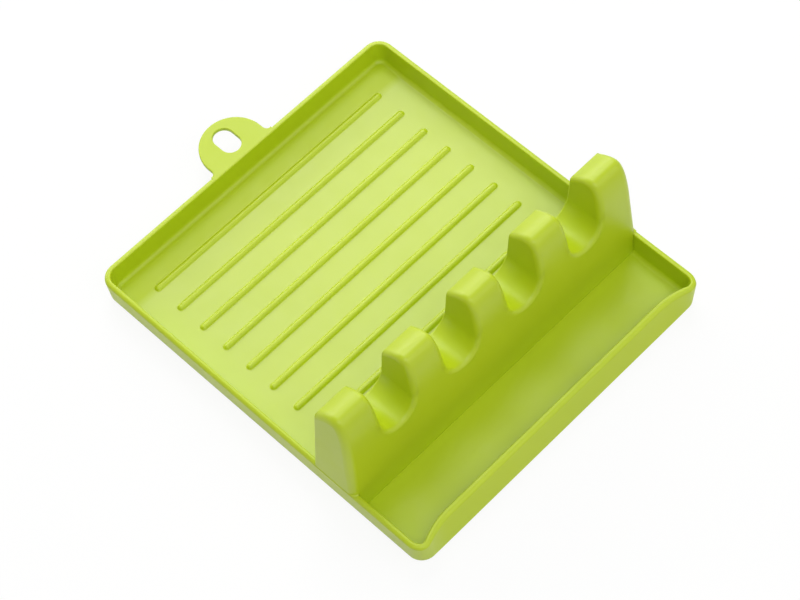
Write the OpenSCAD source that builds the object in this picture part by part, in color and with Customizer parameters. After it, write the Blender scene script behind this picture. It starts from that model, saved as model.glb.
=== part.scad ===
// Spoon rest for the hob side: a drip tray with a hanging tab, a comb rack that lifts off, and soft feet.
// Lengths are in millimetres and angles in degrees. X is the width, Y points to the back, Z is up.
// The origin is on the table under the middle of the part, tab included.

/* [Tray] */
// Width of the tray across the rim
tray_w = 175; // [150:1:210]
// Depth of the tray across the rim, front to back
tray_d = 195; // [180:1:230]
// Height of the rim above the underside of the tray
rim_h = 13.7; // [11:0.1:18]
// Wall thickness at the rim
wall_t = 2.7; // [2:0.1:3]
// How far each wall leans outward between its foot and the rim
wall_lean = 0.9; // [0.4:0.1:1.1]
// Thickness of the floor
floor_t = 2; // [1.6:0.1:3]
// Corner radius of the rim, seen from above
corner_r = 8; // [8:0.5:14]
// Radius of the turn from the floor up into the walls
floor_fillet_r = 2.2; // [1:0.1:2.4]

/* [Front lip] */
// Distance from the front edge back to the lip's inner face, at the rim
lip_setback = 7.6; // [5:0.1:7.8]
// Width of the lip's crest
lip_crest_w = 3.4; // [2:0.1:3.8]
// Distance from the front edge back to the lip's outer foot
lip_foot_inset = 0.8; // [0.4:0.1:1.6]
// Length over which the lip swells out of each front corner
lip_ease_l = 20; // [18:0.5:30]

/* [Drip ribs] */
// Number of ribs on the floor, counted from the back
rib_count = 8; // [1:1:8]
// Distance from one rib to the next
rib_pitch = 14.4; // [8:0.1:14.4]
// Distance from the back of the rim to the first rib
rib_margin = 18.1; // [12:0.1:20]
// Distance from the sides of the rim to the ends of the ribs
rib_end_margin = 17.2; // [13:0.1:22]
// How far the ribs sit to the left of the middle
rib_offset = 0.8; // [0:0.1:1.5]
// Width of a rib
rib_w = 3.2; // [2.2:0.1:4]
// Height of a rib above the floor
rib_h = 1.1; // [0.6:0.1:1.5]

/* [Hanging tab] */
// Radius of the tab's round end
tab_r = 16; // [13:0.5:22]
// How far the tab reaches beyond the back of the rim
tab_reach = 20.5; // [18:0.5:30]
// Thickness of the tab
tab_t = 2; // [1.5:0.1:3]
// Width of the slot that the tray hangs by
slot_w = 9.9; // [6:0.1:14]
// Length of that slot, end to end
slot_l = 14.4; // [14.2:0.1:18]
// Plastic left between the slot and the tip of the tab
slot_margin = 4.1; // [3:0.1:6]

/* [Rack] */
// Number of notches for handles
notch_count = 4; // [1:1:4]
// Distance from one notch to the next
notch_pitch = 37.7; // [26:0.1:38]
// Radius of the round bottom of a notch
notch_r = 9.1; // [6:0.1:10]
// Height of the notch bottoms above the underside of the tray
notch_h = 34.3; // [26:0.1:38]
// Height of the rack's back edge above the underside of the tray
rack_back_h = 57.3; // [52:0.1:70]
// Distance from the front of the rim to the foot of the rack
rack_setback = 36.7; // [30:0.1:50]
// Thickness of the rack at its foot, front to back
rack_foot_t = 24.8; // [20:0.1:28]
// Wall thickness of the rack
rack_wall_t = 2; // [1.5:0.1:2.4]
// Slope of the rack's ends and notch walls from upright
side_draft = 3; // [1:0.5:4]

/* [Locating posts] */
// Radius of the two posts that hold the rack in place
post_r = 3.5; // [2.5:0.1:4]
// Height of the posts above the floor
post_h = 14; // [8:0.5:16]
// Wall thickness of the sleeves in the rack that drop over the posts
sleeve_wall_t = 1.8; // [1.2:0.1:2.2]
// Gap between a post and its sleeve, on the radius
post_gap = 0.15; // [0.1:0.05:0.3]

/* [Feet] */
// Radius of a foot pad
foot_r = 5; // [4:0.5:8]
// Thickness of a foot pad
foot_t = 1.8; // [1.4:0.1:2.4]
// Depth of the pocket that holds a foot pad
pocket_depth = 0.8; // [0.4:0.1:1]
// Distance from the rim to the middle of a foot pad
foot_inset = 20; // [16:1:40]

/* [Hidden] */
$fn = 48;

// Clearances and small radii
seat_gap = 0.3;
pocket_gap = 0.15;
rim_r = 0.6;
foot_edge_r = 1.2;
edge_share = 0.6;
rim_edge_r = edge_share * wall_t;
lip_edge_r = edge_share * lip_crest_w;
overrun = 1;

// Points along the arcs of the lofted tray
corner_steps = 7;
ease_steps = 7;
arc_steps = 3;
fillet_steps = 4;
outline_steps = 16;

// Tray levels, measured from its underside
inner_lean = wall_lean * (rim_h - floor_t) / rim_h;
tray_z = foot_t - pocket_depth;
origin_y = -(tab_reach + lip_foot_inset) / 2;
half_w = tray_w / 2;
half_d = tray_d / 2;

// Where the swelling of the front lip starts, inward from the side of the rim
lip_end_inset = 2.5;
lip_full_x = half_w - lip_end_inset - lip_ease_l;
lip_wall_t = 1.9;

// Rack levels, measured from the underside of the tray
rack_front_y = -half_d + rack_setback;
rack_back_y = rack_front_y + rack_foot_t;
front_draft = 5.3;
back_draft = 2.1;
crown_angle = 41.3;
crown_reach = 18.8;
nose_share = 0.65;
nose_reach = 24.6;
crown_steps = 14;
notch_mid_z = notch_h + notch_r;
top_z = rack_back_h + crown_reach;

// Sleeves stand under the outermost notches
sleeve_r = post_r + post_gap + sleeve_wall_t;
sleeve_lift = 1;
post_x = notch_pitch * (notch_count - 1) / 2;
post_y = (front_y_at(post_h) + back_y_at(post_h)) / 2;
post_chamfer = 0.8;

function mix(a, b, share) = a + (b - a) * share;
function limit(v) = min(1, max(0, v));

// Points of an arc, as [across, up], from angle a0 to a1
function arc(across, up, r, a0, a1, steps) =
    [for (i = [0:steps]) let (a = mix(a0, a1, i / steps)) [across + r * cos(a), up + r * sin(a)]];

// Section of a wall as [inset from the rim's edge, height], from the underside, over the rim, to the floor
function wall_section(foot, outer, inner, lean, outer_r) = concat(
    arc(foot + foot_edge_r, foot_edge_r, foot_edge_r, -90, -180, arc_steps),
    arc(outer + outer_r, rim_h - outer_r, outer_r, 180, 90, arc_steps),
    arc(inner - rim_r, rim_h - rim_r, rim_r, 90, 0, arc_steps),
    arc(inner + lean + floor_fillet_r, floor_t + floor_fillet_r, floor_fillet_r, 180, 270, fillet_steps),
    [[inner + lean + floor_fillet_r, 0]]);

rim_section = wall_section(wall_lean, 0, wall_t, inner_lean, rim_edge_r);
lip_section = wall_section(lip_foot_inset, lip_setback - lip_crest_w, lip_setback, inner_lean, lip_edge_r);

// Share of the full lip section at a distance x from the middle
function lip_share(x) = sin(90 * limit((half_w - lip_end_inset - abs(x)) / lip_ease_l));

// Stations round the rim as [x, y, direction of the outward normal, share of the lip]
function corner_station(side, front, a) = let (
        x = side * (half_w - corner_r) + corner_r * cos(a),
        y = front * (half_d - corner_r) + corner_r * sin(a))
    [x, y, a, front < 0 ? lip_share(x) : 0];
function corner(side, front, a0) =
    [for (i = [0:corner_steps]) corner_station(side, front, a0 + 90 * i / corner_steps)];
ease_xs = [for (i = [1:ease_steps]) mix(half_w - corner_r, lip_full_x, i / ease_steps)];
function front_station(x) = [x, -half_d, -90, lip_share(x)];
stations = concat(
    corner(1, -1, -90), corner(1, 1, 0), corner(-1, 1, 90), corner(-1, -1, 180),
    [for (x = ease_xs) front_station(-x)],
    [for (i = [ease_steps - 1:-1:0]) front_station(ease_xs[i])]);

function wall_point(s, k) = let (
        inset = mix(rim_section[k][0], lip_section[k][0], s[3]),
        up = mix(rim_section[k][1], lip_section[k][1], s[3]))
    [s[0] - inset * cos(s[2]), s[1] - inset * sin(s[2]), up];

// The tray's wall: one closed section carried round the rim
module tray_wall() {
    rings = len(rim_section);
    n = len(stations);
    points = [for (k = [0:rings - 1]) for (s = stations) wall_point(s, k)];
    faces = [for (k = [0:rings - 1]) for (j = [0:n - 1]) let (i = (j + 1) % n, up = (k + 1) % rings)
        each [[k * n + j, up * n + j, up * n + i], [k * n + j, up * n + i, k * n + i]]];
    polyhedron(points, faces, convexity = 6);
}

// The flat floor, which runs a little way into the foot of the wall
module tray_floor() {
    last = len(rim_section) - 1;
    linear_extrude(height = floor_t) polygon([for (s = stations)
        let (inset = mix(rim_section[last][0], lip_section[last][0], s[3]) - floor_fillet_r / 2)
        [s[0] - inset * cos(s[2]), s[1] - inset * sin(s[2])]]);
}

// A low rounded rib with round ends, lying along X, with its foot inside the floor
module drip_rib(length) {
    sink = (pow(rib_w / 2, 2) - pow(rib_h, 2)) / (2 * rib_h);
    r = rib_h + sink;
    end_x = (length - rib_w) / 2;
    intersection() {
        translate([0, 0, floor_t - sink]) union() {
            rotate([0, 90, 0]) cylinder(h = 2 * end_x, r = r, center = true);
            for (x = [-end_x, end_x]) translate([x, 0, 0]) sphere(r = r);
        }
        translate([-length, -rib_w, floor_t / 2]) cube([2 * length, 2 * rib_w, floor_t]);
    }
}

module drip_ribs() {
    for (i = [0:rib_count - 1])
        translate([-rib_offset, half_d - rib_margin - i * rib_pitch, 0]) drip_rib(tray_w - 2 * rib_end_margin);
}

// Outline of the tab: a round end on a straight root with small hollow fillets at the wall
tab_fillet_r = 2.5;
tab_mid_y = half_d + tab_reach - tab_r;
slot_mid_y = half_d + tab_reach - slot_margin - slot_l / 2;
module tab_outline() {
    root_y = half_d - rim_edge_r;
    foot_x = tab_r + tab_fillet_r;
    polygon(concat(
        [[-foot_x, root_y]],
        arc(-foot_x, half_d + tab_fillet_r, tab_fillet_r, -90, 0, outline_steps / 4),
        arc(0, tab_mid_y, tab_r, 180, 0, outline_steps),
        arc(foot_x, half_d + tab_fillet_r, tab_fillet_r, 180, 270, outline_steps / 4),
        [[foot_x, root_y]]));
}

module slot_outline() {
    reach = (slot_l - slot_w) / 2;
    polygon(concat(
        arc(0, slot_mid_y + reach, slot_w / 2, 180, 0, outline_steps),
        arc(0, slot_mid_y - reach, slot_w / 2, 0, -180, outline_steps)));
}

module hanging_tab() {
    translate([0, 0, rim_h - tab_t]) linear_extrude(height = tab_t) difference() {
        tab_outline();
        slot_outline();
    }
}

module locating_posts(r, h) {
    for (side = [-1, 1]) translate([side * post_x, post_y, 0]) cylinder(h = h, r = r);
}

module posts() {
    locating_posts(post_r, floor_t + post_h - post_chamfer);
    for (side = [-1, 1]) translate([side * post_x, post_y, floor_t + post_h - post_chamfer])
        cylinder(h = post_chamfer, r1 = post_r, r2 = post_r - post_chamfer);
}

// Hollow under the front lip, so that the moulding keeps an even wall
module lip_hollow() {
    outer = lip_foot_inset + lip_wall_t;
    inner = lip_setback + inner_lean - lip_wall_t;
    crest = lip_setback - lip_crest_w / 2;
    translate([0, -half_d, 0]) rotate([90, 0, 90]) linear_extrude(height = 2 * lip_full_x, center = true)
        polygon([[outer, -overrun], [outer, 0], [crest, rim_h - 2 * lip_wall_t], [inner, 0], [inner, -overrun]]);
}

module foot_places() {
    for (x = [-1, 1]) for (y = [-1, 1])
        translate([x * (half_w - foot_inset), y * (half_d - foot_inset), 0]) children();
}

module drip_tray() {
    color([0.62, 0.78, 0.2]) translate([0, origin_y, tray_z]) difference() {
        union() {
            tray_wall();
            hanging_tab();
            union() {
                tray_floor();
                drip_ribs();
                posts();
            }
        }
        lip_hollow();
        translate([0, 0, -overrun]) foot_places()
            cylinder(h = overrun + pocket_depth, r = foot_r + pocket_gap);
    }
}

// Front and back faces of the rack at a height, before its crown
function front_y_at(z) = rack_front_y + (z - floor_t) * tan(front_draft);
function back_y_at(z) = rack_back_y - (z - floor_t) * tan(back_draft);

function cubic(p0, p1, p2, p3, t) =
    pow(1 - t, 3) * p0 + 3 * t * pow(1 - t, 2) * p1 + 3 * t * t * (1 - t) * p2 + t * t * t * p3;
function slope(p0, p1, p2, p3, t) =
    pow(1 - t, 2) * (p1 - p0) + 2 * t * (1 - t) * (p2 - p1) + t * t * (p3 - p2);

// The crown rises forward from the back edge, rolls over a blunt nose and runs into the front face
nose_z = rack_back_h * nose_share;
crown = [
    [back_y_at(rack_back_h), rack_back_h],
    [back_y_at(rack_back_h) - crown_reach * cos(crown_angle), rack_back_h + crown_reach * sin(crown_angle)],
    [front_y_at(nose_z) + nose_reach * sin(front_draft), nose_z + nose_reach * cos(front_draft)],
    [front_y_at(nose_z), nose_z]];
function crown_point(t, inset) = let (
        p = cubic(crown[0], crown[1], crown[2], crown[3], t),
        d = slope(crown[0], crown[1], crown[2], crown[3], t))
    p + inset * [-d[1], d[0]] / norm(d);

// Side view of the rack as [y, z], drawn inward by a wall's thickness for its hollow
module rack_profile(inset, foot_z) {
    back_top = crown_point(0, inset);
    polygon(concat(
        [[back_y_at(foot_z) - inset, foot_z]],
        inset > 0 ? [[back_y_at(rack_back_h - inset) - inset, back_top[1] - inset / 2]] : [],
        [for (i = [inset > 0 ? 2 : 0:crown_steps]) crown_point(i / crown_steps, inset)],
        [[front_y_at(foot_z) + inset, foot_z]]));
}

// Half width of the room between the tray's side walls at a height
function room_x(z) = half_w - wall_t - inner_lean * (rim_h - z) / (rim_h - floor_t);

// Front view of the rack as [x, z]: ends that step out over the rim, and notches open at the top
module comb_outline(inset, foot_z) {
    r = floor_fillet_r + seat_gap;
    step_z = rim_h + seat_gap + inset;
    end_x = half_w - inset;
    top_x = end_x - (top_z - step_z) * tan(side_draft);
    foot_x = room_x(floor_t + r) - seat_gap - inset;
    half = concat(
        foot_z < floor_t ? [[foot_x, foot_z]] : arc(foot_x - r, foot_z + r, r, -90, 0, fillet_steps),
        [[room_x(rim_h) - seat_gap - inset, step_z], [end_x, step_z], [top_x, top_z]]);
    difference() {
        polygon(concat(half, [for (i = [len(half) - 1:-1:0]) [-half[i][0], half[i][1]]]));
        for (i = [0:notch_count - 1])
            translate([(i - (notch_count - 1) / 2) * notch_pitch, notch_mid_z]) notch_outline(notch_r + inset);
    }
}

module notch_outline(r) {
    open_z = top_z - notch_mid_z + overrun;
    open_x = r * cos(side_draft) + (open_z + r * sin(side_draft)) * tan(side_draft);
    polygon(concat(
        [[open_x, open_z], [-open_x, open_z]],
        arc(0, 0, r, 180 + side_draft, 360 - side_draft, outline_steps)));
}

// The rack's solid form, drawn inward by a wall's thickness for its hollow
module rack_form(inset, foot_z) {
    intersection() {
        rotate([90, 0, 90]) linear_extrude(height = tray_w, center = true) rack_profile(inset, foot_z);
        rotate([90, 0, 0]) linear_extrude(height = tray_d, center = true) comb_outline(inset, foot_z);
    }
}

module utensil_rack() {
    color([0.55, 0.7, 0.12]) translate([0, origin_y, tray_z]) difference() {
        union() {
            difference() {
                rack_form(0, floor_t);
                rack_form(rack_wall_t, -overrun);
            }
            intersection() {
                rack_form(0, floor_t);
                translate([0, 0, floor_t + sleeve_lift]) locating_posts(sleeve_r, notch_mid_z);
            }
        }
        locating_posts(post_r + post_gap, floor_t + post_h + sleeve_lift);
    }
}

module foot(side, front) {
    color([0.85, 0.87, 0.8])
        translate([side * (half_w - foot_inset), front * (half_d - foot_inset) + origin_y, 0])
        cylinder(h = foot_t, r = foot_r);
}

module foot_front_left() foot(-1, -1);
module foot_front_right() foot(1, -1);
module foot_back_left() foot(-1, 1);
module foot_back_right() foot(1, 1);

drip_tray();
utensil_rack();
foot_front_left();
foot_front_right();
foot_back_left();
foot_back_right();
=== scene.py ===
# %% [markdown]
# A spoon rest for beside the hob: a shallow lime-green tray with eight drip ribs and a hanging tab,
# a hollow comb that holds four handles and lifts off two posts, and four soft feet.
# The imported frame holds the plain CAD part. This lesson builds finer mouldings over it, with small
# radii, satin plastic and the soft studio light that a product photographer would use.

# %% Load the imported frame
import math

import bmesh
import bpy
from mathutils import Matrix, Vector


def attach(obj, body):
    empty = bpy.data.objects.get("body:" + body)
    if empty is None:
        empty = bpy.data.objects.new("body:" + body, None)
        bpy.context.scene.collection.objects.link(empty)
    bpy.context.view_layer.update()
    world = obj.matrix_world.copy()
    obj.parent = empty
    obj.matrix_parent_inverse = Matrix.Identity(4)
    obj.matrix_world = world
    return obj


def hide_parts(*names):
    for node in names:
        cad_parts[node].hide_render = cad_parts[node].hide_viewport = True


MM = 0.001
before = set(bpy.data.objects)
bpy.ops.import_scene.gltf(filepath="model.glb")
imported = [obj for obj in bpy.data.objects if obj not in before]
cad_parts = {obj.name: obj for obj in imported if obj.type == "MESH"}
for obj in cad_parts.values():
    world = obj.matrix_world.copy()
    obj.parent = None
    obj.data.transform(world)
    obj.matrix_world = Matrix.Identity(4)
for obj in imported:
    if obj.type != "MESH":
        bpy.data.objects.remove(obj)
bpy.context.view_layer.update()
scene = bpy.context.scene


# %% [markdown]
# A moulder thinks in millimetres, and so do the sizes below. They are the CAD's own values.
# Every piece is modelled in millimetres, round the middle of the tray. The tray and the comb are
# measured from the tray's underside, and the feet from the table. As its last step a piece is scaled
# to metres and moved to the middle of the whole part, which the tab makes longer at the back. The
# tray and the comb are then also lifted by what the feet stand proud of the tray.

# %% Sizes of the tray
TRAY_W, TRAY_D = 175.0, 195.0
RIM_H, WALL_T, WALL_LEAN = 13.7, 2.7, 0.9
FLOOR_T, CORNER_R, FLOOR_FILLET_R = 2.0, 8.0, 2.2
LIP_SETBACK, LIP_CREST_W, LIP_FOOT_INSET = 7.6, 3.4, 0.8
LIP_WALL_T, LIP_END_INSET, LIP_EASE_L = 1.9, 2.5, 20.0
EDGE_SHARE, RIM_R, FOOT_EDGE_R = 0.6, 0.6, 1.2
TAB_REACH, FOOT_T, POCKET_DEPTH = 20.5, 1.8, 0.8
HALF_W, HALF_D = TRAY_W / 2, TRAY_D / 2
RIM_EDGE_R, LIP_EDGE_R = EDGE_SHARE * WALL_T, EDGE_SHARE * LIP_CREST_W
TRAY_LIFT = FOOT_T - POCKET_DEPTH
ORIGIN_Y = -(TAB_REACH + LIP_FOOT_INSET) / 2
LIP_FULL_X = HALF_W - LIP_END_INSET - LIP_EASE_L
INNER_LEAN = WALL_LEAN * (RIM_H - FLOOR_T) / RIM_H
print("tray", TRAY_W, "x", TRAY_D, "mm, rim", RIM_H, "mm high")

# %% [markdown]
# The tray is one injection moulding. Its wall is the same section all round, apart from the front,
# where it swells into a broad lip that a spoon handle can lie on. So the wall is lofted: the section
# is a list of points, and each station round the rim places that list, blended towards the lip.
# A loft keeps the radii true along the whole wall, which a bevel on a box wouldn't.

# %% The wall's section
FOOT_STEPS, CREST_STEPS, RIM_STEPS, FILLET_STEPS = 5, 9, 5, 8


def mix(a, b, share):
    return a + (b - a) * share


def arc(across, up, r, start, end, steps):
    angles = [math.radians(mix(start, end, i / steps)) for i in range(steps + 1)]
    return [(across + r * math.cos(a), up + r * math.sin(a)) for a in angles]


def wall_section(foot, outer, inner, outer_r):
    turn = inner + INNER_LEAN + FLOOR_FILLET_R
    return (arc(foot + FOOT_EDGE_R, FOOT_EDGE_R, FOOT_EDGE_R, -90, -180, FOOT_STEPS)
            + arc(outer + outer_r, RIM_H - outer_r, outer_r, 180, 90, CREST_STEPS)
            + arc(inner - RIM_R, RIM_H - RIM_R, RIM_R, 90, 0, RIM_STEPS)
            + arc(turn, FLOOR_T + FLOOR_FILLET_R, FLOOR_FILLET_R, 180, 270, FILLET_STEPS))


rim_section = wall_section(WALL_LEAN, 0, WALL_T, RIM_EDGE_R)
lip_section = wall_section(LIP_FOOT_INSET, LIP_SETBACK - LIP_CREST_W, LIP_SETBACK, LIP_EDGE_R)
print("points in the wall's section:", len(rim_section))

# %% Stations round the rim
CORNER_STEPS, EASE_STEPS = 16, 28


def lip_share(x):
    reach = (HALF_W - LIP_END_INSET - abs(x)) / LIP_EASE_L
    return math.sin(math.pi / 2 * min(1, max(0, reach)))


def corner_stations(side, front, start):
    stations = []
    for i in range(CORNER_STEPS + 1):
        a = start + 90 * i / CORNER_STEPS
        x = side * (HALF_W - CORNER_R) + CORNER_R * math.cos(math.radians(a))
        y = front * (HALF_D - CORNER_R) + CORNER_R * math.sin(math.radians(a))
        stations.append((x, y, a, lip_share(x) if front < 0 else 0))
    return stations


def wall_point(station, k):
    x, y, a, share = station
    inset = mix(rim_section[k][0], lip_section[k][0], share)
    up = mix(rim_section[k][1], lip_section[k][1], share)
    return (x - inset * math.cos(math.radians(a)), y - inset * math.sin(math.radians(a)), up)


ease_x = [mix(HALF_W - CORNER_R, LIP_FULL_X, i / EASE_STEPS) for i in range(1, EASE_STEPS + 1)]
stations = (corner_stations(1, -1, -90) + corner_stations(1, 1, 0)
            + corner_stations(-1, 1, 90) + corner_stations(-1, -1, 180)
            + [(-x, -HALF_D, -90, lip_share(x)) for x in ease_x]
            + [(x, -HALF_D, -90, lip_share(x)) for x in reversed(ease_x)])
print("stations round the rim:", len(stations))

# %% [markdown]
# The ribs keep a wet spoon off the floor, and they are half round so that they wipe clean.
# In the mould they are milled with a ball cutter, which leaves round ends and a small fillet.
# A rib's section is the top of a circle that is sunk into the floor. From the rib's middle line
# outwards, that circle ends at the turn, and the fillet takes over as far as the reach.

# %% A rib's section
RIB_COUNT, RIB_PITCH, RIB_MARGIN, RIB_END_MARGIN, RIB_OFFSET = 8, 14.4, 18.1, 17.2, 0.8
RIB_W, RIB_H, RIB_FOOT_R = 3.2, 1.1, 0.6
rib_sink = ((RIB_W / 2) ** 2 - RIB_H ** 2) / (2 * RIB_H)
rib_r = RIB_H + rib_sink
rib_reach = math.sqrt((rib_r + RIB_FOOT_R) ** 2 - (RIB_FOOT_R + rib_sink) ** 2)
rib_turn = rib_reach * rib_r / (rib_r + RIB_FOOT_R)


def rib_height(distance):
    if distance < rib_turn:
        return math.sqrt(rib_r ** 2 - distance ** 2) - rib_sink
    if distance < rib_reach:
        return RIB_FOOT_R - math.sqrt(RIB_FOOT_R ** 2 - (rib_reach - distance) ** 2)
    return 0.0


print("a rib is", RIB_H, "mm high and", round(2 * rib_reach, 2), "mm wide at its foot")

# %% [markdown]
# The ribbed floor is a height field: a grid whose points are lifted by a formula. Its lines crowd
# together over each rib and its ends, and lie far apart between them, where the floor is flat. Each
# point's height comes from its distance to the nearest rib's middle line.

# %% The floor's grid
CREST_LINES, FILLET_SHARES = 6, (0.3, 0.6, 0.85, 1)
GRID_EDGE_X, GRID_BETWEEN_X, GRID_MARGIN_Y, GRID_DIGITS = 73.0, 34.0, 4.0, 5
rib_end_x = HALF_W - RIB_END_MARGIN - RIB_W / 2
rib_y = [HALF_D - RIB_MARGIN - i * RIB_PITCH for i in range(RIB_COUNT)]
turn_angle = math.asin(rib_turn / rib_r)
rib_lines = [rib_r * math.sin(turn_angle * i / CREST_LINES) for i in range(CREST_LINES + 1)]
rib_lines += [mix(rib_turn, rib_reach, share) for share in FILLET_SHARES]
lines_at_ends = {round(side * (rib_end_x + d) - RIB_OFFSET, GRID_DIGITS)
                 for side in (-1, 1) for d in rib_lines}
lines_along = {round(y + side * d, GRID_DIGITS) for y in rib_y for side in (-1, 1) for d in rib_lines}
grid_x = sorted(lines_at_ends | {-GRID_EDGE_X, -GRID_BETWEEN_X, 0.0, GRID_BETWEEN_X, GRID_EDGE_X})
grid_y = sorted(lines_along | {rib_y[0] + GRID_MARGIN_Y, rib_y[-1] - GRID_MARGIN_Y})


def floor_height(x, y):
    nearest = min(rib_y, key=lambda rib: abs(y - rib))
    return FLOOR_T + rib_height(math.hypot(max(0, abs(x + RIB_OFFSET) - rib_end_x), y - nearest))


print("floor grid:", len(grid_x), "by", len(grid_y), "lines")

# %% [markdown]
# Now the shell can be closed: rings of points up the outside, over the rim and down to the floor,
# one flat face underneath, and the ribbed grid let into the floor. The flat strip between the grid
# and the wall is filled with triangles. They are level with each other, so they don't show.

# %% Build the shell
def new_object(name, bm):
    mesh = bpy.data.meshes.new(name)
    bmesh.ops.recalc_face_normals(bm, faces=bm.faces)
    bm.to_mesh(mesh)
    bm.free()
    obj = bpy.data.objects.new(name, mesh)
    scene.collection.objects.link(obj)
    return obj


def build_shell():
    bm = bmesh.new()
    rings = [[bm.verts.new(wall_point(s, k)) for s in stations] for k in range(len(rim_section))]
    for low, high in zip(rings, rings[1:]):
        for j in range(len(stations)):
            bm.faces.new((low[j - 1], low[j], high[j], high[j - 1]))
    bm.faces.new(rings[0])
    grid = [[bm.verts.new((x, y, floor_height(x, y))) for x in grid_x] for y in grid_y]
    for near, far in zip(grid, grid[1:]):
        for j in range(1, len(grid_x)):
            bm.faces.new((near[j - 1], near[j], far[j], far[j - 1]))
    border = [edge for edge in bm.edges if edge.is_boundary]
    bmesh.ops.triangle_fill(bm, use_beauty=True, edges=border)
    return new_object("tray_moulding", bm)


tray = build_shell()
print("tray shell:", len(tray.data.vertices), "points")

# %% [markdown]
# The tab, the slot to hang it by, the hollow under the lip and the pockets for the feet are cut and
# joined as solids, the way the tool is milled. Every cutter is a prism: an outline and two ends.
# The outline lies in a plane that is named by its two axes, and the ends are set along the third.

# %% Prisms
PLANES = {"XY": lambda a, b, c: (a, b, c),
          "XZ": lambda a, b, c: (a, c, b),
          "YZ": lambda a, b, c: (c, a, b)}


def prism(name, outline, low, high, plane="XY"):
    bm = bmesh.new()
    ends = [[bm.verts.new(PLANES[plane](a, b, c)) for a, b in outline] for c in (low, high)]
    for end in ends:
        bm.faces.new(end)
    for j in range(len(outline)):
        bm.faces.new((ends[0][j - 1], ends[0][j], ends[1][j], ends[1][j - 1]))
    return new_object(name, bm)


print("planes for an outline:", *PLANES)

# %% Joins and cuts
def apply_modifiers(obj):
    bpy.context.view_layer.update()
    finished = obj.evaluated_get(bpy.context.evaluated_depsgraph_get())
    mesh = bpy.data.meshes.new_from_object(finished)
    obj.modifiers.clear()
    obj.data = mesh
    print(obj.name, "now has", len(mesh.vertices), "points")


def carve(obj, tool, operation):
    step = obj.modifiers.new(operation.lower(), "BOOLEAN")
    step.operation, step.object, step.solver = operation, tool, "MANIFOLD"
    apply_modifiers(obj)
    bpy.data.objects.remove(tool)


def open_edges(obj):
    bm = bmesh.new()
    bm.from_mesh(obj.data)
    count = sum(1 for edge in bm.edges if len(edge.link_faces) != 2)
    bm.free()
    return count


print("open edges in the shell:", open_edges(tray))

# %% Outlines of the tab and its slot
TAB_R, TAB_T, TAB_FILLET_R = 16.0, 2.0, 2.5
SLOT_W, SLOT_L, SLOT_MARGIN = 9.9, 14.4, 4.1
ROUND_STEPS, TAB_FILLET_STEPS = 48, 8
tab_y = HALF_D + TAB_REACH - TAB_R
tab_root_x = TAB_R + TAB_FILLET_R
tab_root_y = HALF_D - RIM_EDGE_R
tab_outline = ([(-tab_root_x, tab_root_y)]
               + arc(-tab_root_x, HALF_D + TAB_FILLET_R, TAB_FILLET_R, -90, 0, TAB_FILLET_STEPS)
               + arc(0, tab_y, TAB_R, 180, 0, ROUND_STEPS)
               + arc(tab_root_x, HALF_D + TAB_FILLET_R, TAB_FILLET_R, 180, 270, TAB_FILLET_STEPS)
               + [(tab_root_x, tab_root_y)])
slot_y = HALF_D + TAB_REACH - SLOT_MARGIN - SLOT_L / 2
slot_reach = (SLOT_L - SLOT_W) / 2
slot_outline = (arc(0, slot_y + slot_reach, SLOT_W / 2, 180, 0, ROUND_STEPS // 2)
                + arc(0, slot_y - slot_reach, SLOT_W / 2, 0, -180, ROUND_STEPS // 2))
print("tab reaches to y =", HALF_D + TAB_REACH, "mm; its slot is", SLOT_W, "by", SLOT_L, "mm")

# %% [markdown]
# A bevel has one width, but every edge can carry a weight from 0 to 1 that scales it. So one function
# can give each edge of a moulding its own radius. Edges between nearly level faces get none, and
# very short edges are dissolved first, because the rounded strips would cross there.

# %% Round the tab's edges and join it on
SHORTEST_EDGE, SHARP_ANGLE = 0.3, math.radians(35)
TAB_EDGE_R, TAB_EDGE_SEGMENTS, TAB_ROOT_BAND = 0.35, 4, 0.1


def round_edges(obj, largest, segments, radius_at):
    bm = bmesh.new()
    bm.from_mesh(obj.data)
    bmesh.ops.dissolve_degenerate(bm, dist=SHORTEST_EDGE, edges=bm.edges)
    weight = bm.edges.layers.float.new("bevel_weight_edge")
    for edge in bm.edges:
        middle = (edge.verts[0].co + edge.verts[1].co) / 2
        sharp = edge.calc_face_angle(0) > SHARP_ANGLE
        edge[weight] = radius_at(edge, middle) / largest if sharp else 0
    bm.to_mesh(obj.data)
    bm.free()
    step = obj.modifiers.new("rounded edges", "BEVEL")
    step.width, step.segments, step.limit_method = largest, segments, "WEIGHT"
    step.use_clamp_overlap, step.miter_outer = False, "MITER_ARC"
    apply_modifiers(obj)


def tab_edge(edge, middle):
    return TAB_EDGE_R if middle.y > HALF_D + TAB_ROOT_BAND else 0


tab = prism("tab", tab_outline, RIM_H - TAB_T, RIM_H)
carve(tab, prism("slot", slot_outline, 0, 2 * RIM_H), "DIFFERENCE")
round_edges(tab, TAB_EDGE_R, TAB_EDGE_SEGMENTS, tab_edge)
carve(tray, tab, "UNION")
print("open edges with the tab:", open_edges(tray))

# %% [markdown]
# The front lip is broad, and a thick lump of plastic would sink as it cools, so it is cored out from
# below. A shallow round pocket near each corner takes a foot. Both are cuts from the underside, and
# every cutter overruns it, because two faces at one height would leave the cut in doubt.

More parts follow.
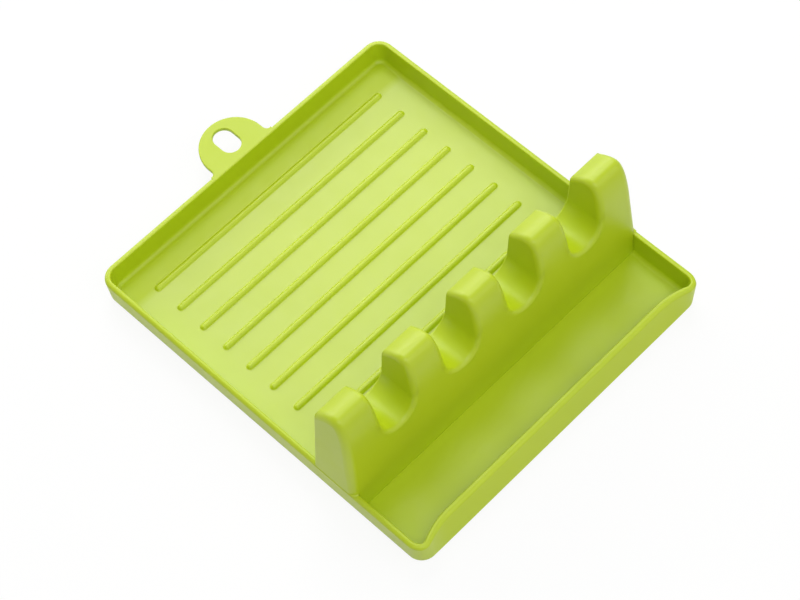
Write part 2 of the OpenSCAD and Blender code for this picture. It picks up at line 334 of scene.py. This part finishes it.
# %% Hollow under the lip and pockets for the feet
FOOT_R, FOOT_INSET, POCKET_GAP, OVERRUN = 5.0, 20.0, 0.15, 1.0
groove_front_y = LIP_FOOT_INSET + LIP_WALL_T - HALF_D
groove_back_y = LIP_SETBACK + INNER_LEAN - LIP_WALL_T - HALF_D
lip_groove = [(groove_front_y, -OVERRUN), (groove_front_y, 0),
              (LIP_SETBACK - LIP_CREST_W / 2 - HALF_D, RIM_H - 2 * LIP_WALL_T),
              (groove_back_y, 0), (groove_back_y, -OVERRUN)]
carve(tray, prism("lip_groove", lip_groove, -LIP_FULL_X, LIP_FULL_X, "YZ"), "DIFFERENCE")
foot_places = {name: (x * (HALF_W - FOOT_INSET), y * (HALF_D - FOOT_INSET))
               for name, x, y in (("front_left", -1, -1), ("front_right", 1, -1),
                                  ("back_left", -1, 1), ("back_right", 1, 1))}
for x, y in foot_places.values():
    ring = [(x + a, y + b) for a, b in arc(0, 0, FOOT_R + POCKET_GAP, 0, 360, ROUND_STEPS)[:-1]]
    carve(tray, prism("pocket", ring, -OVERRUN, POCKET_DEPTH), "DIFFERENCE")
print("tray after the cuts:", len(tray.data.vertices), "points; open edges:", open_edges(tray))

# %% [markdown]
# Two round posts stand on the floor under the comb. A turned shape is easiest to draw as half a
# section spun round its own axis, which is how the posts, the sleeves and the feet are all made.

# %% Spin a section into a turned piece
def turned(name, x, y, section):
    bm = bmesh.new()
    angles = [math.tau * i / ROUND_STEPS for i in range(ROUND_STEPS)]
    rings = [[bm.verts.new((x + r * math.cos(a), y + r * math.sin(a), z)) for a in angles]
             for r, z in section]
    for low, high in zip(rings, rings[1:]):
        for j in range(ROUND_STEPS):
            bm.faces.new((low[j - 1], low[j], high[j], high[j - 1]))
    bm.faces.new(rings[0])
    bm.faces.new(rings[-1])
    return new_object(name, bm)


def join(obj, pieces):
    bm = bmesh.new()
    for piece in [obj] + pieces:
        bm.from_mesh(piece.data)
    mesh = bpy.data.meshes.new(obj.name)
    bm.to_mesh(mesh)
    bm.free()
    obj.data = mesh
    for piece in pieces:
        bpy.data.objects.remove(piece)


print("a turned piece has", ROUND_STEPS, "sides")

# %% Where the comb stands
COMB_SETBACK, COMB_FOOT_T, COMB_WALL_T = 36.7, 24.8, 2.0
FRONT_DRAFT, BACK_DRAFT, SIDE_DRAFT = (math.radians(a) for a in (5.3, 2.1, 3.0))
NOTCH_COUNT, NOTCH_PITCH, NOTCH_R, NOTCH_H = 4, 37.7, 9.1, 34.3
comb_front_y = COMB_SETBACK - HALF_D
comb_back_y = comb_front_y + COMB_FOOT_T


def front_y_at(z):
    return comb_front_y + (z - FLOOR_T) * math.tan(FRONT_DRAFT)


def back_y_at(z):
    return comb_back_y - (z - FLOOR_T) * math.tan(BACK_DRAFT)


print("comb stands from y =", round(comb_front_y, 1), "to", round(comb_back_y, 1), "mm")

# %% Posts for the comb
POST_R, POST_H, POST_CHAMFER, POST_GAP, POST_ROOT = 3.5, 14.0, 0.8, 0.15, 0.5
post_x = NOTCH_PITCH * (NOTCH_COUNT - 1) / 2
post_y = (front_y_at(POST_H) + back_y_at(POST_H)) / 2
post_top = FLOOR_T + POST_H
post_section = [(POST_R, FLOOR_T - POST_ROOT), (POST_R, post_top - POST_CHAMFER),
                (POST_R - POST_CHAMFER, post_top)]
join(tray, [turned("post", side * post_x, post_y, post_section) for side in (-1, 1)])
print("posts at x = +-", post_x, "mm, y =", round(post_y, 2), "mm")

# %% [markdown]
# The comb has one side view, drawn along its whole length: a leaning front, a crown that rises from
# the back edge and rolls over a blunt nose, and a nearly upright back. The crown is one cubic curve
# with four control points. The comb's hollow has the same side view, set in by the wall's thickness.
# The back edge is drawn 0.05 mm lower than in the CAD, so that this finer curve stays in its box.

# %% The comb's side view
COMB_BACK_H, CROWN_ANGLE, CROWN_REACH = 57.25, math.radians(41.3), 18.8
NOSE_SHARE, NOSE_REACH = 0.65, 24.6
CROWN_STEPS, SKIPPED_STEPS = 36, 3
crown_top = COMB_BACK_H + CROWN_REACH
nose_z = COMB_BACK_H * NOSE_SHARE
crown = [Vector((back_y_at(COMB_BACK_H), COMB_BACK_H)),
         Vector((back_y_at(COMB_BACK_H) - CROWN_REACH * math.cos(CROWN_ANGLE),
                 COMB_BACK_H + CROWN_REACH * math.sin(CROWN_ANGLE))),
         Vector((front_y_at(nose_z) + NOSE_REACH * math.sin(FRONT_DRAFT),
                 nose_z + NOSE_REACH * math.cos(FRONT_DRAFT))),
         Vector((front_y_at(nose_z), nose_z))]


def crown_point(t, inset):
    point_shares = [(1 - t) ** 3, 3 * t * (1 - t) ** 2, 3 * t * t * (1 - t), t ** 3]
    leg_shares = [(1 - t) ** 2, 2 * t * (1 - t), t * t]
    legs = [end - start for start, end in zip(crown, crown[1:])]
    point = sum((share * corner for share, corner in zip(point_shares, crown)), Vector((0, 0)))
    along = sum((share * leg for share, leg in zip(leg_shares, legs)), Vector((0, 0))).normalized()
    return (point.x - inset * along.y, point.y + inset * along.x)


def side_view(inset, foot_z):
    back = [(back_y_at(foot_z) - inset, foot_z)]
    first = 0
    if inset:
        # At the hollow's upper back, one corner stands in for the first points of the inner crown.
        back.append((back_y_at(COMB_BACK_H - inset) - inset, crown_point(0, inset)[1] - inset / 2))
        first = SKIPPED_STEPS
    curve = [crown_point(i / CROWN_STEPS, inset) for i in range(first, CROWN_STEPS + 1)]
    return back + curve + [(front_y_at(foot_z) + inset, foot_z)]


print("points in the side view:", len(side_view(0, FLOOR_T)))

# %% [markdown]
# Seen from the front the comb is a bar with four U-shaped notches. Below the rim it fills the tray
# from wall to wall, and then its ends step out over the rim to the tray's full width. The joint is
# drawn as thin as the photo shows it.

# %% The comb's ends, seen from the front
SEAT_GAP, SEAT_STEPS = 0.12, 6


def room_x(z):
    return HALF_W - WALL_T - INNER_LEAN * (RIM_H - z) / (RIM_H - FLOOR_T)


def end_outline(inset, foot_z):
    r = FLOOR_FILLET_R + SEAT_GAP
    step_z = RIM_H + SEAT_GAP + inset
    end_x = HALF_W - inset
    foot_x = room_x(FLOOR_T + r) - SEAT_GAP - inset
    foot = [(foot_x, foot_z)] if foot_z < FLOOR_T else arc(foot_x - r, foot_z + r, r, -90, 0, SEAT_STEPS)
    return foot + [(room_x(RIM_H) - SEAT_GAP - inset, step_z), (end_x, step_z),
                   (end_x - (crown_top - step_z) * math.tan(SIDE_DRAFT), crown_top)]


print("room between the walls at the floor:", round(2 * room_x(FLOOR_T), 1), "mm")

# %% The comb's notches, seen from the front
NOTCH_STEPS = 40


def notch_outline(x, inset):
    r, z = NOTCH_R + inset, NOTCH_H + NOTCH_R
    draft = math.degrees(SIDE_DRAFT)
    open_x = r * math.cos(SIDE_DRAFT) + (crown_top - z + r * math.sin(SIDE_DRAFT)) * math.tan(SIDE_DRAFT)
    round_bottom = arc(x, z, r, -draft, draft - 180, NOTCH_STEPS)
    return [(x + open_x, crown_top)] + round_bottom + [(x - open_x, crown_top)]


def front_view(inset, foot_z):
    right = end_outline(inset, foot_z)
    notches = []
    for i in reversed(range(NOTCH_COUNT)):
        notches += notch_outline((i - (NOTCH_COUNT - 1) / 2) * NOTCH_PITCH, inset)
    return right + notches + [(-x, z) for x, z in reversed(right)]


print("points in the front view:", len(front_view(0, FLOOR_T)))

# %% [markdown]
# The solid where the two prisms meet is the comb. A sculpted block would need every curve placed by
# hand, and here two flat drawings give them all, as they do on a maker's drawing.

# %% The comb where its two prisms meet
def comb_form(inset, foot_z):
    form = prism("comb_moulding", side_view(inset, foot_z), -HALF_W, HALF_W, "YZ")
    carve(form, prism("comb_front", front_view(inset, foot_z), -HALF_D, 0, "XZ"), "INTERSECT")
    return form


comb = comb_form(0, FLOOR_T)
print("comb form:", len(comb.data.vertices), "points; open edges:", open_edges(comb))

# %% [markdown]
# A moulded edge is never sharp. On the comb the radii are largest at its ends and over the nose of each
# hump, where a hand and the handles meet it. The edges at the back are almost crisp, and so are those
# that meet the tray, where they leave a thin dark joint. A radius may only change slowly from one edge
# to the next, or the strips would cross, so it follows the way forward: how far an edge has turned
# round the crown's middle, from 0 at the back edge to 1 where the crown runs into the front face.

# %% Radii on the comb's edges
END_R_AT_BACK, END_R_AT_FRONT, NOTCH_R_AT_BACK, NOTCH_R_AT_FRONT = 3.2, 4.2, 2.4, 2.0
NOSE_EXTRA_R, BACK_EDGE_R, SEAT_EDGE_R = 1.0, 1.0, 0.3
BACK_BAND, END_BAND, END_FACING, COMB_EDGE_SEGMENTS = 0.05, 5.0, 0.8, 6
crown_middle_y = (crown[0].x + crown[-1].x) / 2


def way_forward(y, z):
    first = math.atan2(COMB_BACK_H - nose_z, crown[0].x - crown_middle_y)
    turn = math.atan2(max(0, z - nose_z), y - crown_middle_y)
    return min(1, max(0, (turn - first) / (math.pi - first)))


def comb_edge(edge, middle):
    if middle.z < RIM_H + 2 * SEAT_GAP:
        return SEAT_EDGE_R
    if all(vert.co.y > back_y_at(vert.co.z) - BACK_BAND for vert in edge.verts):
        return BACK_EDGE_R
    share = way_forward(middle.y, middle.z)
    on_end_face = any(abs(face.normal.x) > END_FACING for face in edge.link_faces)
    if on_end_face and abs(middle.x) > post_x + NOTCH_R + END_BAND:
        return mix(END_R_AT_BACK, END_R_AT_FRONT, share)
    return mix(NOTCH_R_AT_BACK, NOTCH_R_AT_FRONT, share) + NOSE_EXTRA_R * math.sin(math.pi * share) ** 2


round_edges(comb, END_R_AT_FRONT, COMB_EDGE_SEGMENTS, comb_edge)
print("comb with rounded edges:", len(comb.data.vertices), "points; open edges:", open_edges(comb))

# %% [markdown]
# A moulder cores such a comb out to an even wall, so that it cools evenly and doesn't sink. The hollow
# is the same two views again, set in, and it runs on through the foot, which leaves it open below.
# Two blind sleeves hang inside, rooted in the floors of the outer notches, and drop over the posts.

# %% Hollow inside, with two sleeves that drop over the posts
SLEEVE_WALL_T, SLEEVE_LIFT, SLEEVE_CHAMFER, SLEEVE_COVER = 1.8, 1.0, 0.3, 0.4
AXIS_R = 0.01
carve(comb, comb_form(COMB_WALL_T, -OVERRUN), "DIFFERENCE")
bore_r = POST_R + POST_GAP
bore_high = FLOOR_T + POST_H + SLEEVE_LIFT
sleeve_r = bore_r + SLEEVE_WALL_T
sleeve_low, sleeve_high = FLOOR_T + SLEEVE_LIFT, NOTCH_H - SLEEVE_COVER
sleeve_section = [(AXIS_R, bore_high), (bore_r, bore_high), (bore_r, sleeve_low + SLEEVE_CHAMFER),
                  (bore_r + SLEEVE_CHAMFER, sleeve_low), (sleeve_r - SLEEVE_CHAMFER, sleeve_low),
                  (sleeve_r, sleeve_low + SLEEVE_CHAMFER), (sleeve_r, sleeve_high),
                  (AXIS_R, sleeve_high)]
join(comb, [turned("sleeve", side * post_x, post_y, sleeve_section) for side in (-1, 1)])
print("hollow comb:", len(comb.data.vertices), "points; open edges:", open_edges(comb))

# %% [markdown]
# The feet are die-cut rubber pads, pressed into shallow pockets. A pad of soft rubber has a turned-in
# lower edge, where it has been squeezed by the table, and a faint dish in the middle.

# %% Feet
PAD_EDGE_R, PAD_DISH, DISH_SHARE, DISH_EDGE_SHARE = 0.5, 0.12, 0.55, 0.62
PAD_EDGE_STEPS, PAD_TOP_STEPS = 6, 4
pad_top_r = PAD_EDGE_R / 2
pad_section = ([(AXIS_R, PAD_DISH), (FOOT_R * DISH_SHARE, PAD_DISH), (FOOT_R * DISH_EDGE_SHARE, 0.0)]
               + arc(FOOT_R - PAD_EDGE_R, PAD_EDGE_R, PAD_EDGE_R, -90, 0, PAD_EDGE_STEPS)
               + arc(FOOT_R - pad_top_r, FOOT_T - pad_top_r, pad_top_r, 0, 90, PAD_TOP_STEPS)
               + [(AXIS_R, FOOT_T)])
feet = {name: turned("foot_pad_" + name, x, y, pad_section) for name, (x, y) in foot_places.items()}
print("feet:", sorted(feet))

# %% [markdown]
# Soft edges only read as soft if the shading flows over them while the flat faces stay flat.
# Edges sharper than a set angle stay crisp, and every other normal leans towards its largest face.
# Then each piece takes its seat: the body it rides on and the node it stands for.

# %% Smooth shading, metres and seats
MERGE_MM, CRISP_ANGLE, FACE_WEIGHT = 0.002, math.radians(50), 60


def finish_piece(obj, body, replaced, lift):
    obj.data.transform(Matrix.Translation((0, ORIGIN_Y * MM, lift * MM)) @ Matrix.Scale(MM, 4))
    bm = bmesh.new()
    bm.from_mesh(obj.data)
    bmesh.ops.remove_doubles(bm, verts=bm.verts, dist=MERGE_MM * MM)
    for face in bm.faces:
        face.smooth = True
    for edge in bm.edges:
        edge.smooth = edge.calc_face_angle(0) < CRISP_ANGLE
    bm.to_mesh(obj.data)
    bm.free()
    step = obj.modifiers.new("flat faces stay flat", "WEIGHTED_NORMAL")
    step.keep_sharp, step.weight = True, FACE_WEIGHT
    apply_modifiers(obj)
    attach(obj, body)
    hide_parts(replaced)


finish_piece(tray, "tray", "drip_tray", TRAY_LIFT)
finish_piece(comb, "rack", "utensil_rack", TRAY_LIFT)
for name, pad in feet.items():
    finish_piece(pad, "tray", "foot_" + name, 0)
print("pieces:", tray.name, comb.name, *(pad.name for pad in feet.values()))

# %% [markdown]
# Next the finishes. Colours are picked as sRGB hex values, as a paint card gives them, and Blender's
# shaders work in linear light, so one function converts them by the curve of the sRGB standard.
# Another gives a node its settings and links, by the name or the number of its sockets, and a small
# one adds a node and settles it.

# %% Colours and nodes
def linear(hex_colour):
    channels = [int(hex_colour[i:i + 2], 16) / 255 for i in (1, 3, 5)]
    return [c / 12.92 if c <= 0.04045 else ((c + 0.055) / 1.055) ** 2.4 for c in channels] + [1]


def settle(tree, node, settings, links):
    for key, value in settings.items():
        if isinstance(key, int) or key in node.inputs:
            node.inputs[key].default_value = value
        else:
            setattr(node, key, value)
    for key, source in links.items():
        tree.links.new(source, node.inputs[key])
    return node


def add(tree, kind, settings=None, links=None):
    return settle(tree, tree.nodes.new(kind), settings or {}, links or {})


def new_material(name):
    material = bpy.data.materials.new(name)
    material.use_nodes = True
    return material


def dress(obj, material):
    obj.data.materials.clear()
    obj.data.materials.append(material)


WHITE = (1, 1, 1, 1)
print("lime #B5C816 in linear light:", [round(c, 3) for c in linear("#B5C816")])

# %% [markdown]
# The tray and the comb are polypropylene, injection moulded in a lightly blasted steel tool.
# Polypropylene is a little waxy: it is satin rather than glossy, light creeps some way into it,
# and colour masterbatch gives one even lime with only a slow drift where the melt flowed.
# The blasting leaves pits of about 0.05 mm. They are too fine to show at this distance, so the
# grain is drawn at 0.5 mm and made very shallow.

# %% Satin polypropylene
FLOW_MM, GRAIN_MM, SCUFF_MM = 70.0, 0.5, 9.0
FLOW_DETAIL, GRAIN_DETAIL, SCUFF_DETAIL = 1.0, 2.0, 4.0
FLOW_FROM, FLOW_TO, SCUFF_FROM, SCUFF_TO = 0.35, 0.65, 0.3, 0.7
SATIN_ROUGHNESS, ROUGHNESS_DRIFT = 0.40, 0.03
PIT_STRENGTH, PIT_DEPTH_MM = 0.12, 0.02
PLASTIC_IOR, CREEP_WEIGHT, CREEP_RADII, CREEP_MM = 1.49, 0.15, (1.0, 1.0, 0.15), 2.0


def polypropylene(name, body_colour, flow_colour):
    material = new_material(name)
    tree = material.node_tree
    place = add(tree, "ShaderNodeTexCoord").outputs["Object"]
    flow, grain, scuff = (
        add(tree, "ShaderNodeTexNoise", {"Scale": 1 / (size * MM), "Detail": detail}, {"Vector": place})
        for size, detail in ((FLOW_MM, FLOW_DETAIL), (GRAIN_MM, GRAIN_DETAIL), (SCUFF_MM, SCUFF_DETAIL)))
    drift = add(tree, "ShaderNodeMapRange", {"From Min": FLOW_FROM, "From Max": FLOW_TO},
                {"Value": flow.outputs["Fac"]})
    colour = add(tree, "ShaderNodeMix",
                 {"data_type": "RGBA", 6: linear(body_colour), 7: linear(flow_colour)},
                 {"Factor": drift.outputs["Result"]})
    satin = add(tree, "ShaderNodeMapRange",
                {"From Min": SCUFF_FROM, "From Max": SCUFF_TO,
                 "To Min": SATIN_ROUGHNESS - ROUGHNESS_DRIFT, "To Max": SATIN_ROUGHNESS + ROUGHNESS_DRIFT},
                {"Value": scuff.outputs["Fac"]})
    pits = add(tree, "ShaderNodeBump", {"Strength": PIT_STRENGTH, "Distance": PIT_DEPTH_MM * MM},
               {"Height": grain.outputs["Fac"]})
    settle(tree, tree.nodes["Principled BSDF"],
           {"IOR": PLASTIC_IOR, "Subsurface Weight": CREEP_WEIGHT, "Subsurface Radius": CREEP_RADII,
            "Subsurface Scale": CREEP_MM * MM},
           {"Base Color": colour.outputs[2], "Roughness": satin.outputs["Result"],
            "Normal": pits.outputs["Normal"]})
    return material


print("plastic roughness", SATIN_ROUGHNESS)

# %% The tray's lime and the comb's
tray_plastic = polypropylene("lime polypropylene, satin moulded", "#B5C816", "#B1C513")
comb_plastic = polypropylene("lime polypropylene, satin moulded comb", "#B3C616", "#AFC313")
dress(tray, tray_plastic)
dress(comb, comb_plastic)
print("tray in", tray_plastic.name, "and comb in", comb_plastic.name)

# %% [markdown]
# Between the ribs the grain is stronger, as from a tool blasted more coarsely, which hides the scratches
# that cutlery leaves.
# The floor there is also painted paler: a painted sheen that stands in for the satin reflection lying over
# it.
# The texture ends at the first rib. In the photo the strip between that rib and the back wall mirrors less
# and looks darker. Two masks pick out the level faces at the floor's height behind the comb, one on each
# side of the first rib. A mask is a product of tests. Each gives 1 where it holds, 0 where it doesn't, and
# a share between at a ramp.

# %% Masks for the textured field and the strip behind it
LEVEL_FROM, LEVEL_TO, FLOOR_BAND, SEAM_MM, TUCK_MM = 0.97, 0.995, 0.3, 2.0, 1.0
tree = tray_plastic.node_tree
spot = add(tree, "ShaderNodeSeparateXYZ", links={0: add(tree, "ShaderNodeTexCoord").outputs["Object"]})
facing = add(tree, "ShaderNodeSeparateXYZ", links={0: add(tree, "ShaderNodeNewGeometry").outputs["Normal"]})


def ramp(source, start, end):
    return add(tree, "ShaderNodeMapRange", {"From Min": start, "From Max": end},
               {"Value": source}).outputs["Result"]


def compared(axis, comparison, limit_mm):
    return add(tree, "ShaderNodeMath", {"operation": comparison, 1: limit_mm * MM},
               {0: spot.outputs[axis]}).outputs[0]


def product(first, second):
    return add(tree, "ShaderNodeMath", {"operation": "MULTIPLY"}, {0: first, 1: second}).outputs[0]


field_front_y = comb_back_y - TUCK_MM
seam_y = ORIGIN_Y + rib_y[0]
level = ramp(facing.outputs["Z"], LEVEL_FROM, LEVEL_TO)
level_floor = product(level, compared("Z", "LESS_THAN", TRAY_LIFT + FLOOR_T + FLOOR_BAND))
behind_comb = product(level_floor, compared("Y", "GREATER_THAN", ORIGIN_Y + field_front_y))
past_rib = ramp(spot.outputs["Y"], (seam_y - SEAM_MM) * MM, (seam_y + SEAM_MM) * MM)
before_rib = add(tree, "ShaderNodeMath", {"operation": "SUBTRACT", 0: 1.0}, {1: past_rib}).outputs[0]
field, strip = product(behind_comb, before_rib), product(behind_comb, past_rib)
print("texture from y", round(field_front_y, 1), "to", round(rib_y[0], 1), "mm")

# %% The field painted paler with a painted sheen and more grained, the strip less shiny
# The first value is painted sheen: how far the field's colour is mixed towards white to stand in for the
# satin reflection.
FIELD_PAINTED_SHEEN, FIELD_BUMP, PLAIN_SPECULAR, STRIP_SPECULAR = 0.07, 0.35, 0.5, 0.36
shader = tree.nodes["Principled BSDF"]
# Here the field's colour is mixed towards white: painted sheen standing in for the satin reflection on the
# floor.
sheen_share = add(tree, "ShaderNodeMath", {"operation": "MULTIPLY", 1: FIELD_PAINTED_SHEEN}, {0: field})
painted_sheen = add(tree, "ShaderNodeMix", {"data_type": "RGBA", 7: WHITE},
            {0: sheen_share.outputs[0], 6: shader.inputs["Base Color"].links[0].from_socket})
shine = add(tree, "ShaderNodeMapRange", {"To Min": PLAIN_SPECULAR, "To Max": STRIP_SPECULAR},
            {"Value": strip})
settle(tree, shader, {}, {"Base Color": painted_sheen.outputs[2], "Specular IOR Level": shine.outputs["Result"]})
coarser = add(tree, "ShaderNodeMapRange", {"To Min": PIT_STRENGTH, "To Max": FIELD_BUMP},
              {"Value": field})
settle(tree, shader.inputs["Normal"].links[0].from_node, {}, {"Strength": coarser.outputs["Result"]})
print("the field is paler by", FIELD_PAINTED_SHEEN, "and the strip's specular is", STRIP_SPECULAR)

# %% [markdown]
# The feet are a pale thermoplastic rubber. It is matt and a touch dusty underneath, because it
# grips, and it has no sheen of its own.

# %% Soft rubber
DUST_MM, RUBBER_GRAIN_MM, DUST_DETAIL = 2.0, 0.4, 3.0
RUBBER_ROUGH_FROM, RUBBER_ROUGH_TO, RUBBER_IOR = 0.65, 0.8, 1.5
RUBBER_BUMP, RUBBER_BUMP_MM = 0.3, 0.03
rubber = new_material("thermoplastic rubber, matt")
tree = rubber.node_tree
place = add(tree, "ShaderNodeTexCoord").outputs["Object"]
dust = add(tree, "ShaderNodeTexNoise", {"Scale": 1 / (DUST_MM * MM), "Detail": DUST_DETAIL},
           {"Vector": place})
rubber_grain = add(tree, "ShaderNodeTexNoise", {"Scale": 1 / (RUBBER_GRAIN_MM * MM)}, {"Vector": place})
rubber_colour = add(tree, "ShaderNodeMix",
                    {"data_type": "RGBA", 6: linear("#D3D6C6"), 7: linear("#C9CCBC")},
                    {"Factor": dust.outputs["Fac"]})
rubber_rough = add(tree, "ShaderNodeMapRange", {"To Min": RUBBER_ROUGH_FROM, "To Max": RUBBER_ROUGH_TO},
                   {"Value": dust.outputs["Fac"]})
rubber_bump = add(tree, "ShaderNodeBump", {"Strength": RUBBER_BUMP, "Distance": RUBBER_BUMP_MM * MM},
                  {"Height": rubber_grain.outputs["Fac"]})
settle(tree, tree.nodes["Principled BSDF"], {"IOR": RUBBER_IOR},
       {"Base Color": rubber_colour.outputs[2], "Roughness": rubber_rough.outputs["Result"],
        "Normal": rubber_bump.outputs["Normal"]})
for pad in feet.values():
    dress(pad, rubber)
print("feet in", rubber.name)

# %% [markdown]
# The picture is a packshot: the part on a white sweep, with a very soft shadow. A white sweep needs
# two things. The camera, reflections and clear parts should see white, and the light that falls on
# the object should stay at a plain level. Light Path tells those rays apart.

# %% White sweep and its light
WORLD_LEVEL = 0.25


def sees_white(tree):
    rays = add(tree, "ShaderNodeLightPath").outputs
    direct = add(tree, "ShaderNodeMath", {"operation": "MAXIMUM"},
                 {0: rays["Is Camera Ray"], 1: rays["Is Glossy Ray"]})
    return add(tree, "ShaderNodeMath", {"operation": "MAXIMUM"},
               {0: direct.outputs[0], 1: rays["Is Transmission Ray"]}).outputs[0]


world = bpy.data.worlds.new("studio")
scene.world = world
world.use_nodes = True
tree = world.node_tree
tree.nodes.clear()
strength = add(tree, "ShaderNodeMapRange", {"To Min": WORLD_LEVEL, "To Max": 1.0},
               {"Value": sees_white(tree)})
sky = add(tree, "ShaderNodeBackground", {"Color": WHITE}, {"Strength": strength.outputs["Result"]})
add(tree, "ShaderNodeOutputWorld", links={"Surface": sky.outputs["Background"]})
print("world light at", WORLD_LEVEL)

# %% [markdown]
# The table top is white paper. For the rays that should see white, nine tenths of it glow at exactly
# 1, and the last tenth is matt paper, which keeps a faint shadow. All other rays find plain paper.

# %% The table top
TABLE_HALF_W, GLOW_SHARE = 4.0, 0.9
bm = bmesh.new()
bmesh.ops.create_grid(bm, x_segments=1, y_segments=1, size=TABLE_HALF_W)
floor = new_object("white_table", bm)
paper = new_material("white paper sweep")
tree = paper.node_tree
tree.nodes.clear()
share = add(tree, "ShaderNodeMath", {"operation": "MULTIPLY", 1: GLOW_SHARE}, {0: sees_white(tree)})
matt = add(tree, "ShaderNodeBsdfDiffuse", {"Color": linear("#F2F2F0")})
glow = add(tree, "ShaderNodeEmission", {"Color": WHITE, "Strength": 1.0})
sweep = add(tree, "ShaderNodeMixShader",
            links={0: share.outputs[0], 1: matt.outputs[0], 2: glow.outputs[0]})
add(tree, "ShaderNodeOutputMaterial", links={"Surface": sweep.outputs[0]})
dress(floor, paper)
print("table in", paper.name)

# %% [markdown]
# Five soft boxes light it, each a white cloth a metre and a half away. The high one hangs behind and
# to the right, just where the tray's floor mirrors it for the camera, and lays the pale satin veil over
# the ribs. A long lower one behind lights the ribs, the crowns and the floors of the notches. The one
# in front opens up the trough and the comb's front, and so does one beside the camera. A weak one on
# the left lights the comb's end. Their strengths came from rendering each alone, finding the mix
# that is nearest to the photo, and trimming it. Angles are in degrees, sizes in metres.

# %% Softboxes
SOFTBOX_DISTANCE = 1.5


def softbox(name, azimuth, elevation, width, height, radiance):
    azimuth, elevation = math.radians(azimuth), math.radians(elevation)
    reach = math.cos(elevation)
    way = Vector((math.cos(azimuth) * reach, math.sin(azimuth) * reach, math.sin(elevation)))
    lamp = bpy.data.lights.new(name, "AREA")
    lamp.shape, lamp.size, lamp.size_y = "RECTANGLE", width, height
    lamp.energy = radiance * math.pi * width * height
    obj = bpy.data.objects.new(name, lamp)
    obj.location = way * SOFTBOX_DISTANCE
    obj.rotation_euler = (-way).to_track_quat("-Z", "Y").to_euler()
    scene.collection.objects.link(obj)
    print(name, "radiance", radiance, "power", round(lamp.energy, 2), "W")


softbox("high_softbox", azimuth=50, elevation=58, width=0.7, height=0.7, radiance=4.5)
softbox("back_softbox", azimuth=68, elevation=26, width=2.2, height=0.7, radiance=3.6)
softbox("front_softbox", azimuth=285, elevation=40, width=1.5, height=1.3, radiance=1.15)
softbox("camera_softbox", azimuth=240, elevation=65, width=0.9, height=0.9, radiance=2.6)
softbox("left_softbox", azimuth=190, elevation=20, width=0.9, height=0.9, radiance=0.25)

# %% [markdown]
# The camera stands where the photographer's did: in front, to the left and high above, with a long
# lens, so the tray's sides hardly converge. Its place, turn and lens were solved from the tray's
# outline and its ribs. A roll then tips the picture about the line of sight.

# %% Camera
CAMERA_PLACE = (-0.36290, -0.41965, 0.93080)
AZIMUTH, ELEVATION, ROLL = (math.radians(a) for a in (-41.581, 59.542, -5.092))
FOCAL_LENGTH, SENSOR_W, SHIFT_X, SHIFT_Y = 111.57, 36.0, 0.00027, -0.00599
level_reach = math.cos(ELEVATION)
back = Vector((math.sin(AZIMUTH) * level_reach, -math.cos(AZIMUTH) * level_reach, math.sin(ELEVATION)))
right = (-back).cross(Vector((0, 0, 1))).normalized()
up = right.cross(-back)
tilted_right = right * math.cos(ROLL) + up * math.sin(ROLL)
tilted_up = up * math.cos(ROLL) - right * math.sin(ROLL)
lens = bpy.data.cameras.new("camera")
lens.lens, lens.sensor_width, lens.sensor_fit = FOCAL_LENGTH, SENSOR_W, "HORIZONTAL"
lens.shift_x, lens.shift_y = SHIFT_X, SHIFT_Y
camera = bpy.data.objects.new("camera", lens)
turn = Matrix((tilted_right, tilted_up, back)).transposed().to_4x4()
camera.matrix_world = Matrix.Translation(Vector(CAMERA_PLACE)) @ turn
scene.collection.objects.link(camera)
scene.camera = camera
scene.view_settings.view_transform = "Standard"
print("camera at", CAMERA_PLACE)

# %% [markdown]
# Last the scene is brought up to date.

# %% Update the scene
bpy.context.view_layer.update()
